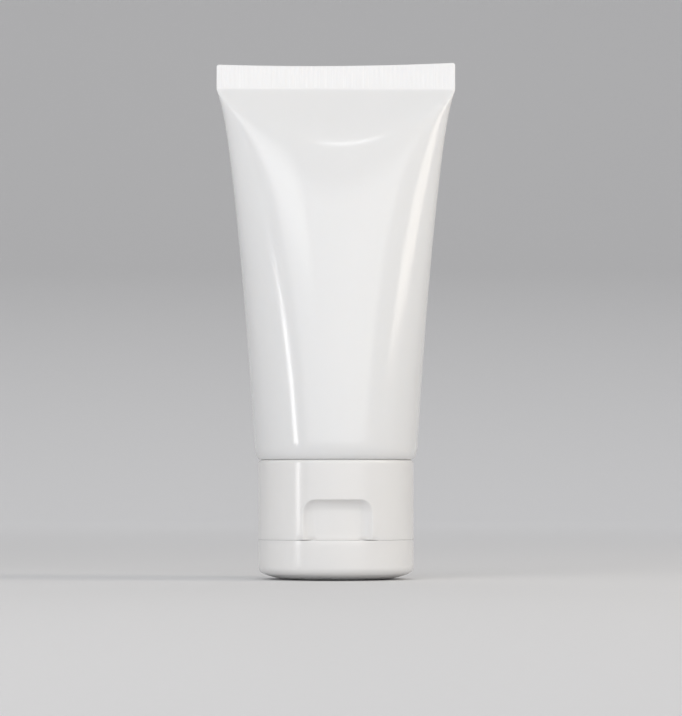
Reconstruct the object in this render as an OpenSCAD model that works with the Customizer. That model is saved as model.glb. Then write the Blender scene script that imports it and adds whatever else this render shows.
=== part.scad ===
// Squeeze tube for cream, standing on its flip cap.
// The sleeve is round at the shoulder and pressed flat at the tail seal.
// The thumb recess faces -Y, the lid's film hinge lies at the back, and the tail seal runs along X.

/* [Sleeve] */
// Outside diameter of the sleeve at its round end
tube_d = 35; // [34:0.5:40]
// Length of the sleeve from its turned-in lip to the cut tail
sleeve_h = 85.1; // [75:0.1:100]
// Thickness of the extruded film
film_t = 0.5; // [0.4:0.05:0.7]
// Height of the rounded corner at the shoulder
lip_h = 3.75; // [3:0.25:5]
// How far that corner turns in under the shoulder
lip_in = 1.6; // [1.3:0.1:2.2]

/* [Tail seal] */
// Width of the pressed tail
seal_w = 51.3; // [48:0.1:60]
// Height of the pressed band
seal_h = 5.6; // [4:0.2:8]
// Thickness of the two films pressed into one
seal_t = 0.95; // [0.7:0.05:1.4]
// How much higher the cut ends at the right-hand corner than at the middle
cut_rise = 0.28; // [0:0.02:0.6]
// How far the middle of the cut sags below its corners
cut_sag = 0.5; // [0:0.05:1]
// How much each corner of the cut is nipped in
corner_nip = 0.3; // [0:0.05:0.6]

/* [Filled shape] */
// Share of the widening that grows evenly from shoulder to tail
taper_share = 0.6; // [0.5:0.02:0.7]
// Share that grows faster towards the tail
swell_share = 0.28; // [0.2:0.02:0.3]
// Half thickness that the filled belly would still have at the seal, as a share of the sleeve's radius
belly_left = 0.37; // [0.2:0.01:0.5]
// Angle between the flat panels under the seal and the seal itself
panel_angle = 34; // [25:1:45]

/* [Shoulder and neck] */
// Thickness of the moulded shoulder
shoulder_t = 1.4; // [1:0.1:2]
// How far the shoulder falls from its rim to the neck
shoulder_fall = 1.1; // [0.5:0.1:1.5]
// Height of the head's rim inside the sleeve
rim_skirt_h = 1.6; // [1:0.2:3]
// Wall thickness of this rim
rim_wall = 0.7; // [0.5:0.05:1]
// Diameter of the neck at the root of its thread
neck_d = 16.4; // [15.4:0.2:18]
// Diameter of the passage through the neck
neck_bore_d = 12; // [11:0.2:12.6]
// Length of the neck from the plane of the lip to its sealing end
neck_len = 14.6; // [12:0.2:15.6]

/* [Cap base] */
// How much smaller the cap's radius is than the sleeve's
cap_inset = 0.88; // [0.8:0.02:2]
// Height of the base's outer skirt
skirt_h = 16.85; // [16:0.05:20]
// Wall thickness of skirt, lid and recess
cap_wall = 1.2; // [0.9:0.1:1.4]
// Rounding of the skirt's rim beside the tube
rim_r = 0.7; // [0.3:0.1:0.9]
// Gap between the skirt's rim and the tube
shoulder_gap = 0.1; // [0.1:0.05:0.6]
// Thickness of the deck that closes the base
deck_t = 1.4; // [1:0.1:1.8]
// Wall thickness of the threaded collar
collar_wall = 1.2; // [1:0.1:1.6]
// Radial room for the thread between neck and collar
thread_room = 0.85; // [0.6:0.05:1]
// How far the collar's rim stays below the skirt's rim
collar_drop = 1.6; // [1.5:0.1:3]
// Number of ribs between collar and skirt
rib_count = 8; // [4:4:12]
// Thickness of these ribs
rib_t = 0.9; // [0.6:0.1:1.4]
// Height of these ribs above the flange
rib_h = 10; // [6:0.5:11]

/* [Spout] */
// Diameter of the orifice
orifice_d = 4; // [3:0.1:4.6]
// Outside diameter of the spout's mouth
spout_d = 7; // [6.4:0.1:8]
// How far the spout stands out of the deck
spout_h = 2.1; // [1.5:0.1:2.4]
// How much the spout widens from its mouth to the deck
spout_flare = 0.5; // [0.2:0.1:1]
// Width of the funnel that leads into the orifice
funnel_w = 0.8; // [0.4:0.1:1.2]
// Length of the plug that seals inside the neck
plug_h = 2.6; // [2:0.2:4]
// Wall thickness of this plug
plug_wall = 1; // [0.8:0.1:1.2]

/* [Thumb recess] */
// Width of the recess's outline, measured round the cap
recess_w = 15.8; // [14:0.2:18]
// Height of the recess above the seam
recess_h = 8.8; // [7:0.1:10]
// Depth of the recess, whose floor is round like the cap
recess_depth = 1.5; // [0.9:0.1:1.6]
// Radius of the recess's upper corners
recess_r = 3.1; // [2.8:0.1:4]
// Radius of the cove that runs round the recess between its floor and its outline
cove_r = 2.6; // [1.6:0.1:2.8]
// Wall thickness behind the recess
recess_wall_t = 0.9; // [0.7:0.05:1.2]
// Distance between the middles of the two reliefs at the foot of the recess
relief_spacing = 13.6; // [12:0.1:15]
// Width of each relief
relief_w = 4.1; // [2:0.1:5]
// Height of each relief
relief_h = 0.3; // [0.2:0.05:0.8]

/* [Lid] */
// Height of the lid up to the seam
lid_h = 8.5; // [7.6:0.1:11]
// Thickness of the lid's end
lid_end_t = 1.2; // [1:0.1:1.6]
// Diameter of the flat that the tube stands on
foot_d = 18.5; // [14:0.5:24]
// Height of the curve from this flat to the side
foot_h = 3; // [2:0.1:4]
// Diameter of the pin that closes the orifice
pin_d = 3; // [2.4:0.1:3]
// How far the pin reaches into the spout
pin_reach = 1.2; // [0.8:0.1:1.4]
// Gap at the seam between lid and base
seam_gap = 0.06; // [0.04:0.02:0.3]
// Height of the step that the lid closes over
step_h = 1.95; // [1.5:0.05:2.4]
// Gap between this step and the lid's wall
step_gap = 0.42; // [0.3:0.02:0.6]
// Wall thickness of this step
step_wall = 1.3; // [1:0.1:1.6]
// How far the snap bead stands out of the step
bead = 0.18; // [0.1:0.02:0.2]

/* [Film hinge] */
// Width across both hinge lands
hinge_w = 13; // [10:0.5:16]
// Width of the window between the two lands
hinge_window = 4; // [2:0.5:6]
// Height of each land above or below the seam
land_h = 2.6; // [1.8:0.1:3.4]
// How far the hinge line stands out of the cap's side
hinge_out = 0.35; // [0.25:0.05:0.6]
// Thickness of each land beside the seam
land_edge = 0.3; // [0.2:0.05:0.5]
// How far each land slopes back over its height
land_slope = 1; // [0.6:0.1:1.4]

/* [Hidden] */
$fn = 96;

// Edge breaks, lead-in chamfers, fillets, and how far one form is sunk into the next to fuse with it
edge_break = 0.15;
lead_in = 0.4;
neck_chamfer = 0.6;
fillet = 1;
sunk = 0.3;
clear = 1;

// Heights, from the flat of the lid upwards
z_lid_rim = lid_h - seam_gap / 2;
z_base = lid_h + seam_gap / 2;
z_cap_rim = z_base + skirt_h;
z_lip = z_cap_rim + shoulder_gap;
z_body = z_lip + lip_h;
z_tail = z_lip + sleeve_h;
z_seal = z_tail - seal_h;
z_neck_end = z_lip - neck_len;
z_step = z_base - step_h;
z_deck_out = z_step + lead_in;
z_deck_in = z_deck_out + deck_t;
z_collar = z_cap_rim - collar_drop;

// Radii
tube_r = tube_d / 2;
lip_end_r = tube_r - lip_in;
cap_r = tube_r - cap_inset;
cap_in_r = cap_r - cap_wall;
step_r = cap_in_r - step_gap;
neck_r = neck_d / 2;
bore_r = neck_bore_d / 2;
collar_r = neck_r + thread_room;
orifice_r = orifice_d / 2;

mouth_r = spout_d / 2;
pin_r = pin_d / 2;

// Clearances of pieces that are welded or slide together
weld_gap = 0.08;
plug_gap = 0.08;
plug_r = bore_r - plug_gap;
plug_in_r = plug_r - plug_wall;

// Steps of the sleeve's loft
around = 60;
body_rings = 20;
lip_rings = 6;
ring_crowding = 1.7;
pocket_end = 0.996;

// Powers that shape the curves of the filled sleeve
belly_power = 1.45;
corner_power = 0.38;
ridge_power = 6;

white_film = [0.93, 0.93, 0.93];
white_cap = [0.9, 0.89, 0.88];

// Half the sleeve's width at share s of its length, from 0 at the shoulder to 1 at the seal
function half_w(s) =
    let (flare_share = 1 - taper_share - swell_share)
    tube_r + (seal_w / 2 - tube_r) * (taper_share * s + swell_share * pow(s, 2.5) + flare_share * pow(s, 16));

// Half thickness of the filled belly, and of the wedge that the flat panels under the seal cut from it
function belly(s) = (tube_r - seal_t / 2) * (1 - (1 - belly_left) * pow(s, belly_power));
function wedge(s) = (z_seal - z_body) * (1 - s) * tan(panel_angle);

// The lesser of two positive lengths, with a soft ridge where they are alike
function soft_min(a, b) =
    min(a, b) <= 0 ? 0 : min(a, b) * pow(1 + pow(min(a, b) / max(a, b), ridge_power), -1 / ridge_power);

// One point of the outer or inner surface at share s and angle a, where the side edges sharpen towards the seal
function outer_xy(s, a) =
    let (sn = abs(sin(a)), edge_power = 1 - 0.8 * s * s)
    [half_w(s) * cos(a), sign(sin(a)) * (seal_t / 2 * pow(sn, edge_power) + soft_min(belly(s) * sn, wedge(s)))];
function inner_xy(s, a) =
    let (less = film_t - seal_t / 2, tuck = film_t * (1 + 2 * pow(s, 8)))
    [(half_w(s) - tuck) * cos(a), sign(sin(a)) * soft_min((belly(s) - less) * abs(sin(a)), wedge(s) - less)];

// Radius on the rounded corner, where u runs from 0 at its top to 1 at its lowest line
function corner_r(u, turn) = lip_end_r + turn * pow(1 - u * u, corner_power);

function share(i) = 1 - pow(1 - i / body_rings, ring_crowding);
function ring_z(s) = z_body + (z_seal - z_body) * s;
function angle(j) = 360 * j / around;

// Rings of points, from the closed end of the pocket down the inside, round the lip and up the outside
function body_ring_in(s) = [for (j = [0:around - 1]) let (p = inner_xy(s, angle(j))) [p.x, p.y, ring_z(s)]];
function body_ring_out(s) = [for (j = [0:around - 1]) let (p = outer_xy(s, angle(j))) [p.x, p.y, ring_z(s)]];
function lip_ring(r, z) = [for (j = [0:around - 1]) [r * cos(angle(j)), r * sin(angle(j)), z]];
function seal_ring(t, pull) = [
    for (j = [0:around - 1])
        let (p = outer_xy(1, angle(j)), across = cos(angle(j)))
        [p.x - pull * across, p.y, z_seal + seal_h * t + t * (cut_rise * across + cut_sag * (across * across - 1))]
];

function sleeve_rings() = concat(
    [body_ring_in(pocket_end)],
    [for (i = [body_rings - 1:-1:0]) body_ring_in(share(i))],
    [for (k = [1:lip_rings]) let (u = sin(90 * k / lip_rings))
        lip_ring(corner_r(u, lip_in - film_t), z_body - (lip_h - film_t) * u)],
    [for (k = [lip_rings:-1:1]) let (u = sin(90 * k / lip_rings)) lip_ring(corner_r(u, lip_in), z_body - lip_h * u)],
    [for (i = [0:body_rings]) body_ring_out(share(i))],
    [seal_ring(0.5, 0), seal_ring(1 - corner_nip / seal_h, 0), seal_ring(1, corner_nip)]
);

// Closed skin over a list of rings with as many points each, and a strip of triangles over either end
module loft(rings) {
    n = len(rings[0]);
    last = (len(rings) - 1) * n;
    half = n / 2;
    sides = [
        for (i = [0:len(rings) - 2])
            for (j = [0:n - 1])
                let (a = i * n + j, b = i * n + (j + 1) % n)
                    each [[a, a + n, b + n], [a, b + n, b]]
    ];
    start = concat(
        [for (j = [0:half - 2]) [j, j + 1, n - j - 1]],
        [for (j = [1:half - 1]) [j, n - j - 1, n - j]]
    );
    end = [for (f = start) [last + f[2], last + f[1], last + f[0]]];
    polyhedron([for (r = rings) each r], concat(start, sides, end), convexity = 6);
}

module sleeve() {
    color(white_film) loft(sleeve_rings());
}

// Section of the moulded head, from the neck's end out to the rim inside the sleeve
function head_section() =
    let (
        rim_out_r = tube_r - film_t - weld_gap,
        seat_r = lip_end_r - weld_gap,
        turn = lip_in - film_t - weld_gap,
        drop = lip_h - film_t - weld_gap,
        z_neck_top = z_lip - shoulder_fall,
        corner = [for (k = [lip_rings:-1:0]) let (u = sin(90 * k / lip_rings)) [corner_r(u, turn), z_body - drop * u]]
    )
    concat(
        [
            [bore_r, z_neck_end],
            [neck_r - neck_chamfer, z_neck_end],
            [neck_r, z_neck_end + neck_chamfer],
            [neck_r, z_neck_top],
            [seat_r, z_lip],
            [seat_r, z_lip + film_t + weld_gap]
        ],
        corner,
        [
            [rim_out_r, z_body + rim_skirt_h],
            [rim_out_r - rim_wall, z_body + rim_skirt_h],
            [rim_out_r - 2 * rim_wall, z_body],
            [seat_r - fillet, z_lip + shoulder_t + fillet / 2],
            [seat_r - 2.5 * fillet, z_lip + shoulder_t],
            [bore_r + fillet, z_neck_top + shoulder_t],
            [bore_r, z_neck_top + shoulder_t - fillet]
        ]
    );

module tube_head() {
    color(white_film) rotate_extrude() polygon(head_section());
}

// Plain ring section between two radii and two heights
module band(r_in, r_out, z_low, z_high) {
    translate([r_in, z_low]) square([r_out - r_in, z_high - z_low]);
}

module skirt_section() {
    polygon(concat(
        [
            [cap_in_r, z_base],
            [cap_r - edge_break, z_base],
            [cap_r, z_base + edge_break]
        ],
        [for (a = [0:15:90]) [cap_r - rim_r + rim_r * cos(a), z_cap_rim - rim_r + rim_r * sin(a)]],
        [[cap_in_r, z_cap_rim]]
    ));
}

// Step that the lid closes over, with its snap bead
module step_section() {
    bead_z = z_step + 2 * lead_in;
    polygon([
        [step_r - step_wall, z_step],
        [step_r - lead_in, z_step],
        [step_r, z_step + lead_in],
        [step_r + bead, bead_z],
        [step_r, bead_z + lead_in],
        [step_r, z_base + deck_t],
        [step_r - step_wall, z_base + deck_t]
    ]);
}

module spout_section() {
    z_mouth = z_deck_out - spout_h;
    polygon([
        [orifice_r, z_mouth],
        [mouth_r - lead_in, z_mouth],
        [mouth_r, z_mouth + lead_in],
        [mouth_r + spout_flare, z_deck_out],
        [mouth_r + spout_flare, z_deck_in],
        [orifice_r + funnel_w, z_deck_in],
        [orifice_r, z_deck_in - funnel_w]
    ]);
}

// Plug that seals in the neck's bore, and the ledge that the neck's end sits on
module plug_section() {
    band(plug_in_r, collar_r + collar_wall / 2, z_deck_out + deck_t / 2, z_neck_end);
    polygon([
        [plug_in_r, z_neck_end - sunk],
        [plug_r, z_neck_end - sunk],
        [plug_r, z_neck_end + plug_h - lead_in],
        [plug_r - lead_in, z_neck_end + plug_h],
        [plug_in_r, z_neck_end + plug_h]
    ]);
}

module base_revolve() {
    rotate_extrude() {
        skirt_section();
        step_section();
        spout_section();
        plug_section();
        band(orifice_r + funnel_w, step_r - step_wall / 2, z_deck_out, z_deck_in);
        band(step_r - step_wall, cap_r - cap_wall / 2, z_base, z_base + deck_t);
        band(collar_r, collar_r + collar_wall, z_deck_in - sunk, z_collar);
    }
}

module ribs() {
    inner = collar_r + collar_wall / 2;
    length = cap_r - cap_wall / 2 - inner;
    for (i = [0:rib_count - 1])
        rotate(360 / rib_count * i)
            translate([inner, -rib_t / 2, z_base + deck_t / 2])
                cube([length, rib_t, rib_h + deck_t / 2]);
}

// Section of the recess from its middle to its edge, with the floor at 0, the cove beside it and the open side above
module recess_section(width, cove, out) {
    square([width - cove, out]);
    translate([0, cove]) square([width, out - cove]);
    translate([width - cove, cove]) intersection() {
        circle(cove);
        translate([0, -cove]) square(cove);
    }
}

// Form of the recess, grown by the given amount: swept round the cap between its upper corners, each corner a
// quarter turn of the same section, and each side a straight run of it down to the seam
module recess_block(grow) {
    top = recess_h + grow;
    corner = recess_r + grow;
    cove = cove_r + grow;
    out = recess_depth + grow + clear;
    floor_r = cap_r - recess_depth - grow;
    corner_angle = (recess_w / 2 - recess_r) / cap_r * 180 / PI;
    translate([0, 0, z_base]) {
        rotate(-90 - corner_angle)
            rotate_extrude(angle = 2 * corner_angle)
                translate([floor_r, 0]) mirror([1, -1]) recess_section(top, cove, out);
        for (side = [-1, 1])
            rotate(side * corner_angle)
                translate([0, -floor_r, top - corner])
                    rotate([90, 0, 0]) {
                        rotate(side < 0 ? 90 : 0) rotate_extrude(angle = 90) recess_section(corner, cove, out);
                        mirror([side < 0 ? 1 : 0, 0, 0])
                            rotate([90, 0, 0])
                                linear_extrude(top - corner) recess_section(corner, cove, out);
                    }
    }
}

module recess_wall() {
    intersection() {
        recess_block(recess_wall_t);
        translate([0, 0, z_base]) cylinder(r = cap_r - cap_wall / 2, h = skirt_h);
    }
}

// Shallow lens at each foot of the recess, where the seam opens a little
module recess_reliefs() {
    lens_r = relief_w * relief_w / (8 * relief_h) + relief_h / 2;
    y_in = sqrt(pow(cap_r, 2) - pow((relief_spacing + relief_w) / 2, 2)) - cap_wall / 2;
    intersection() {
        for (side = [-1, 1])
            translate([side * relief_spacing / 2, -y_in, z_base + relief_h - lens_r])
                rotate([90, 0, 0]) cylinder(r = lens_r, h = cap_r);
        translate([-cap_r, -2 * cap_r, z_base]) cube([2 * cap_r, 2 * cap_r, lens_r]);
    }
}

// Pair of hinge lands on the given side of the seam, 1 for above and -1 for below
module hinge_lands(side, z_face) {
    axis_y = cap_r + hinge_out;
    root_y = cap_in_r - clear;
    land_w = (hinge_w - hinge_window) / 2;
    for (x = [-hinge_w / 2, hinge_window / 2])
        translate([x, 0, z_face])
            rotate([90, 0, 90])
                linear_extrude(land_w)
                    polygon([
                        [root_y, 0],
                        [axis_y, 0],
                        [axis_y, side * land_edge],
                        [axis_y - land_slope, side * land_h],
                        [root_y, side * land_h]
                    ]);
}

module cap_base() {
    color(white_cap) {
        difference() {
            union() {
                base_revolve();
                ribs();
                recess_wall();
                difference() {
                    hinge_lands(1, z_base);
                    translate([0, 0, z_base - clear]) cylinder(r = cap_in_r - sunk, h = land_h + 2 * clear);
                }
            }
            recess_block(0);
            recess_reliefs();
        }
    }
}

// Side and end of the lid, with an elliptic curve up to the side
module lid_shell_section() {
    foot_r = foot_d / 2;
    polygon(concat(
        [[0, 0]],
        [for (a = [0:10:90]) [foot_r + (cap_r - foot_r) * sin(a), foot_h - foot_h * cos(a)]],
        [
            [cap_r, z_lid_rim - edge_break],
            [cap_r - edge_break, z_lid_rim],
            [cap_in_r + edge_break, z_lid_rim],
            [cap_in_r, z_lid_rim - edge_break],
            [cap_in_r, foot_h],
            [cap_in_r - cap_wall, lid_end_t],
            [0, lid_end_t]
        ]
    ));
}

// Pin that closes the orifice, with a rounded tip and a coned foot
module pin_section() {
    z_tip = z_deck_out - spout_h + pin_reach;
    tip_r = pin_r * 0.4;
    polygon(concat(
        [
            [0, lid_end_t - sunk],
            [pin_r + fillet, lid_end_t - sunk],
            [pin_r + fillet, lid_end_t],
            [pin_r, lid_end_t + fillet]
        ],
        [for (a = [0:30:90]) [pin_r - tip_r + tip_r * cos(a), z_tip - tip_r + tip_r * sin(a)]],
        [[0, z_tip]]
    ));
}

module cap_lid() {
    color(white_cap) {
        rotate_extrude() {
            lid_shell_section();
            pin_section();
        }
        difference() {
            hinge_lands(-1, z_lid_rim);
            translate([0, 0, z_lid_rim - land_h - clear]) cylinder(r = cap_in_r, h = land_h + 2 * clear);
        }
    }
}

sleeve();
tube_head();
cap_base();
cap_lid();
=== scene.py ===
"""Looks of a white squeeze tube for cream that stands on its flip cap.

It is laid out as an add-on and run as a script.
"""

import math

import bpy
import numpy as np
from bpy.props import FloatProperty, FloatVectorProperty, IntProperty, PointerProperty
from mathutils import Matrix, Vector


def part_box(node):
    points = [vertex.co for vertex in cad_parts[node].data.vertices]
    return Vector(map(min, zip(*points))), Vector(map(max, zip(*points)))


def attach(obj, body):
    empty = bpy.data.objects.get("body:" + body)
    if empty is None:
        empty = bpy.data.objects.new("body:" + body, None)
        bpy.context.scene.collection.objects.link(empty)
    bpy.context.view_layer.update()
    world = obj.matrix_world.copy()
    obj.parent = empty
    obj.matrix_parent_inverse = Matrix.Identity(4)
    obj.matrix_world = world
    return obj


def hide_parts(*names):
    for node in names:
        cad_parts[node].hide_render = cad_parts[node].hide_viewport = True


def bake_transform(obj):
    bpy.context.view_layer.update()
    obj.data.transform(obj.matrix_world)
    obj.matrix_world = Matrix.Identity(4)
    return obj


bl_info = {
    "name": "Squeeze Tube with Flip Cap",
    "version": (1, 0, 0),
    "blender": (4, 5, 0),
    "location": "View3D > Sidebar > Tube",
    "description": "Builds a squeeze tube with head, flip cap and film hinge on the packed frame",
    "category": "Object",
}

MM = 0.001

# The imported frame, and what its boxes give of the tube's and the cap's sizes
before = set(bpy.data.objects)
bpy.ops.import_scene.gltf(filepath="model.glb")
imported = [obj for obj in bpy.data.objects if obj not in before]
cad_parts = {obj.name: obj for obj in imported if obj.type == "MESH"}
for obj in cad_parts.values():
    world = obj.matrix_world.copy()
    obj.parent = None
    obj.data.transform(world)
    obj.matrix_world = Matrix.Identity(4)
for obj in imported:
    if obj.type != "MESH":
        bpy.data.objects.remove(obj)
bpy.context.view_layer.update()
SLEEVE_LOW, SLEEVE_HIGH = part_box("sleeve")
BASE_LOW, BASE_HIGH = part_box("cap_base")
TUBE_R = round(SLEEVE_HIGH.y, 4)
CAP_R = BASE_HIGH.x
Z_LIP = SLEEVE_LOW.z
Z_CUT = SLEEVE_HIGH.z
Z_LID_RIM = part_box("cap_lid")[1].z
Z_NECK_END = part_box("tube_head")[0].z
HINGE_Y = BASE_HIGH.y

# The cap's rim comes closer to the lip than in the solids, which makes the groove a fine line
Z_CAP_RIM = Z_LIP - 0.03 * MM

# Kinds of node that are used most
MATH, MIX, MAP_RANGE = "ShaderNodeMath", "ShaderNodeMix", "ShaderNodeMapRange"
SEPARATE, COMBINE = "ShaderNodeSeparateXYZ", "ShaderNodeCombineXYZ"


def length(name, description, millimetres):
    """A length in metres for a property group, given in millimetres."""
    return FloatProperty(
        name=name, description=description, default=millimetres * MM, unit="LENGTH", precision=5
    )


def share(name, description, default):
    """A plain number for a property group."""
    return FloatProperty(name=name, description=description, default=default)


def angle(name, description, degrees):
    """An angle for a property group, given in degrees."""
    return FloatProperty(
        name=name, description=description, default=math.radians(degrees), subtype="ANGLE"
    )


def colour(name, description, code):
    """A colour for a property group, given as an sRGB hex value."""
    return FloatVectorProperty(
        name=name, description=description, default=linear(code), subtype="COLOR", size=3
    )


def linear(code):
    """Linear red, green and blue of an sRGB hex value such as F0F0EE."""
    parts = [int(code[i : i + 2], 16) / 255 for i in (0, 2, 4)]
    return [c / 12.92 if c <= 0.04045 else ((c + 0.055) / 1.055) ** 2.4 for c in parts]


class SleeveSizes(bpy.types.PropertyGroup):
    """Sizes of the extruded sleeve and its tail seal."""

    film: length("Film", "Thickness of the extruded film", 0.5)
    lip_height: length("Lip height", "Height of the rounded corner at the shoulder", 3.75)
    lip_turn: length("Lip turn", "How far that corner turns in under the shoulder", 1.6)
    seal_height: length("Seal height", "Height of the pressed band", 5.6)
    seal_thickness: length("Seal thickness", "Thickness of the two films pressed into one", 0.95)
    cut_rise: length("Cut rise", "How much higher the cut ends at the right corner", 0.28)
    cut_sag: length("Cut sag", "How far the middle of the cut sags", 0.5)
    corner_nip: length("Corner nip", "How much each corner of the cut is nipped in", 0.3)
    taper: share("Taper", "Share of the widening that grows evenly", 0.6)
    swell: share("Swell", "Share of the widening that grows faster towards the tail", 0.28)
    belly_left: share("Belly left", "Half thickness left at the seal, as a share of radius", 0.37)
    panel_angle: angle("Panel angle", "Angle between the panels under the seal and the seal", 34)
    crimp_pitch: length("Crimp pitch", "Distance between two ribs of the crimp", 1.0)
    crimp_depth: length("Crimp depth", "Depth of the grooves between those ribs", 0.035)


class HeadSizes(bpy.types.PropertyGroup):
    """Sizes of the moulded shoulder and neck."""

    neck_r: length("Neck radius", "Radius at the root of the thread", 8.2)
    bore_r: length("Bore radius", "Radius of the passage through the neck", 6.0)
    shoulder: length("Shoulder", "Thickness of the shoulder", 1.4)
    shoulder_fall: length("Shoulder fall", "How far the shoulder falls to the neck", 1.1)
    rim_height: length("Rim height", "Height of the rim inside the sleeve", 1.6)
    rim_wall: length("Rim wall", "Wall thickness of that rim", 0.7)
    weld_gap: length("Weld gap", "Gap between head and sleeve", 0.08)
    thread_pitch: length("Thread pitch", "Rise of the thread in one turn", 2.8)
    thread_height: length("Thread height", "How far the thread stands out of the neck", 0.65)
    thread_width: length("Thread width", "Width of the thread at its root", 1.3)
    thread_turns: share("Thread turns", "Number of turns", 3.0)


class CapSizes(bpy.types.PropertyGroup):
    """Sizes of the flip cap, base and lid."""

    wall: length("Wall", "Wall thickness of skirt and lid", 1.2)
    rim_r: length("Rim", "Rounding of the rim beside the tube", 0.7)
    deck: length("Deck", "Thickness of the deck", 1.4)
    step_height: length("Step height", "Height of the step that the lid closes over", 1.95)
    step_gap: length("Step gap", "Gap between this step and the lid's wall", 0.42)
    step_wall: length("Step wall", "Wall thickness of the step", 1.3)
    bead: length("Bead", "How far the snap bead stands out", 0.18)
    collar_r: length("Collar", "Inner radius of the threaded collar", 9.05)
    collar_wall: length("Collar wall", "Wall thickness of the collar", 1.2)
    collar_drop: length("Collar drop", "How far the collar stays below the rim", 1.6)
    rib_count: IntProperty(name="Ribs", description="Ribs between collar and skirt", default=8)
    rib: length("Rib", "Thickness of a rib", 0.9)
    rib_height: length("Rib height", "Height of the ribs above the flange", 10)
    orifice_r: length("Orifice", "Radius of the orifice", 2.0)
    mouth_r: length("Mouth", "Radius of the spout's mouth", 3.5)
    flare: length("Flare", "How much the spout widens to the deck", 0.5)
    plug_height: length("Plug height", "Length of the plug in the neck", 2.6)
    plug_wall: length("Plug wall", "Wall thickness of the plug", 1.0)
    plug_gap: length("Plug gap", "Gap between plug and neck", 0.08)
    seam: length("Seam", "Gap between lid and base", 0.02)
    lid_end: length("Lid end", "Thickness of the lid's end", 1.2)
    foot_r: length("Foot", "Radius of the flat that the tube stands on", 9.25)
    foot_corner: length("Foot corner", "Radius of the corner between foot and side", 1.8)
    foot_slope: angle("Foot slope", "Slope of the foot's rise where it meets that corner", 20)
    pin_r: length("Pin", "Radius of the pin that closes the orifice", 1.5)
    pin_reach: length("Pin reach", "How far the pin reaches into the spout", 1.2)


class RecessSizes(bpy.types.PropertyGroup):
    """Sizes of the thumb recess in the base."""

    width: length("Width", "Width of the recess's outline, measured round the cap", 15.8)
    height: length("Height", "Height above the seam", 8.8)
    depth: length("Depth", "Depth of the recess", 1.5)
    corner_r: length("Corner", "Radius of the upper corners", 3.1)
    cove_r: length("Cove", "Radius of the cove between floor and outline", 2.6)
    wall: length("Wall", "Wall thickness behind the recess", 0.9)
    edge: length("Edge", "Rounding of the recess's upper edge", 0.3)
    relief_spacing: length("Relief spacing", "Distance between the reliefs at the foot", 13.6)
    relief_width: length("Relief width", "Width of each relief", 4.1)
    relief_height: length("Relief height", "Height of each relief", 0.12)
    relief_depth: length("Relief depth", "How far the skirt is eased back over a relief", 0.3)


class HingeSizes(bpy.types.PropertyGroup):
    """Sizes of the film hinge at the back."""

    width: length("Width", "Width across both lands", 13)
    window: length("Window", "Width of the window between the lands", 4)
    land_height: length("Land height", "Height of each land from the seam", 2.6)
    land_edge: length("Land edge", "Thickness of each land beside the seam", 0.3)
    land_slope: length("Land slope", "How far each land slopes back", 1.0)
    film: length("Film", "Thickness of the hinge film", 0.3)


class Finishes(bpy.types.PropertyGroup):
    """Colours of the plastics and the stage."""

    film: colour("Film", "Opaque white of the sleeve", "F1F1F1")
    seal: colour("Seal", "Whiter film where two layers are pressed into one", "F7F7F8")
    head: colour("Head", "Natural white of the head", "EBEAE6")
    cap: colour("Cap", "White of the flip cap", "F0EFEE")
    floor: colour("Floor", "Pale grey of floor and backdrop", "E6E6E7")
    bounce: colour("Bounce", "Grey that the floor gives to the light it returns", "CACACB")


class TubeSettings(bpy.types.PropertyGroup):
    """All sizes and colours of the tube."""

    sleeve: PointerProperty(type=SleeveSizes)
    head: PointerProperty(type=HeadSizes)
    cap: PointerProperty(type=CapSizes)
    recess: PointerProperty(type=RecessSizes)
    hinge: PointerProperty(type=HingeSizes)
    finishes: PointerProperty(type=Finishes)


def settings():
    """The tube's settings in this scene."""
    return bpy.context.scene.squeeze_tube


# Meshes


def new_piece(name, points, faces, material, sharp):
    """A smooth mesh object at the origin, sharp where it turns by more than some degrees."""
    mesh = bpy.data.meshes.new(name)
    mesh.from_pydata(np.asarray(points).tolist(), [], [list(map(int, f)) for f in faces])
    mesh.validate()
    mesh.shade_smooth()
    mesh.set_sharp_from_angle(angle=math.radians(sharp))
    mesh.materials.append(material)
    piece = bpy.data.objects.new(name, mesh)
    bpy.context.scene.collection.objects.link(piece)
    return piece


def place(piece, body, slot, *nodes):
    """Rides a piece on its body, and hides the frame's nodes that it stands for. The slot, the
    name of its finish, is not used.
    """
    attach(piece, body)
    if nodes:
        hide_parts(*nodes)


def grid_faces(rows, columns, closed_rows=False, start=0):
    """Quads over rings of points, row by row, and from the last row to the first where asked."""
    i = np.arange(rows if closed_rows else rows - 1)[:, None]
    j = np.arange(columns)[None, :]
    after, beside = (i + 1) % rows, (j + 1) % columns
    quads = [
        i * columns + j,
        i * columns + beside,
        after * columns + beside,
        after * columns + j,
    ]
    return (start + np.stack(quads, axis=-1)).reshape(-1, 4).tolist()


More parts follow.
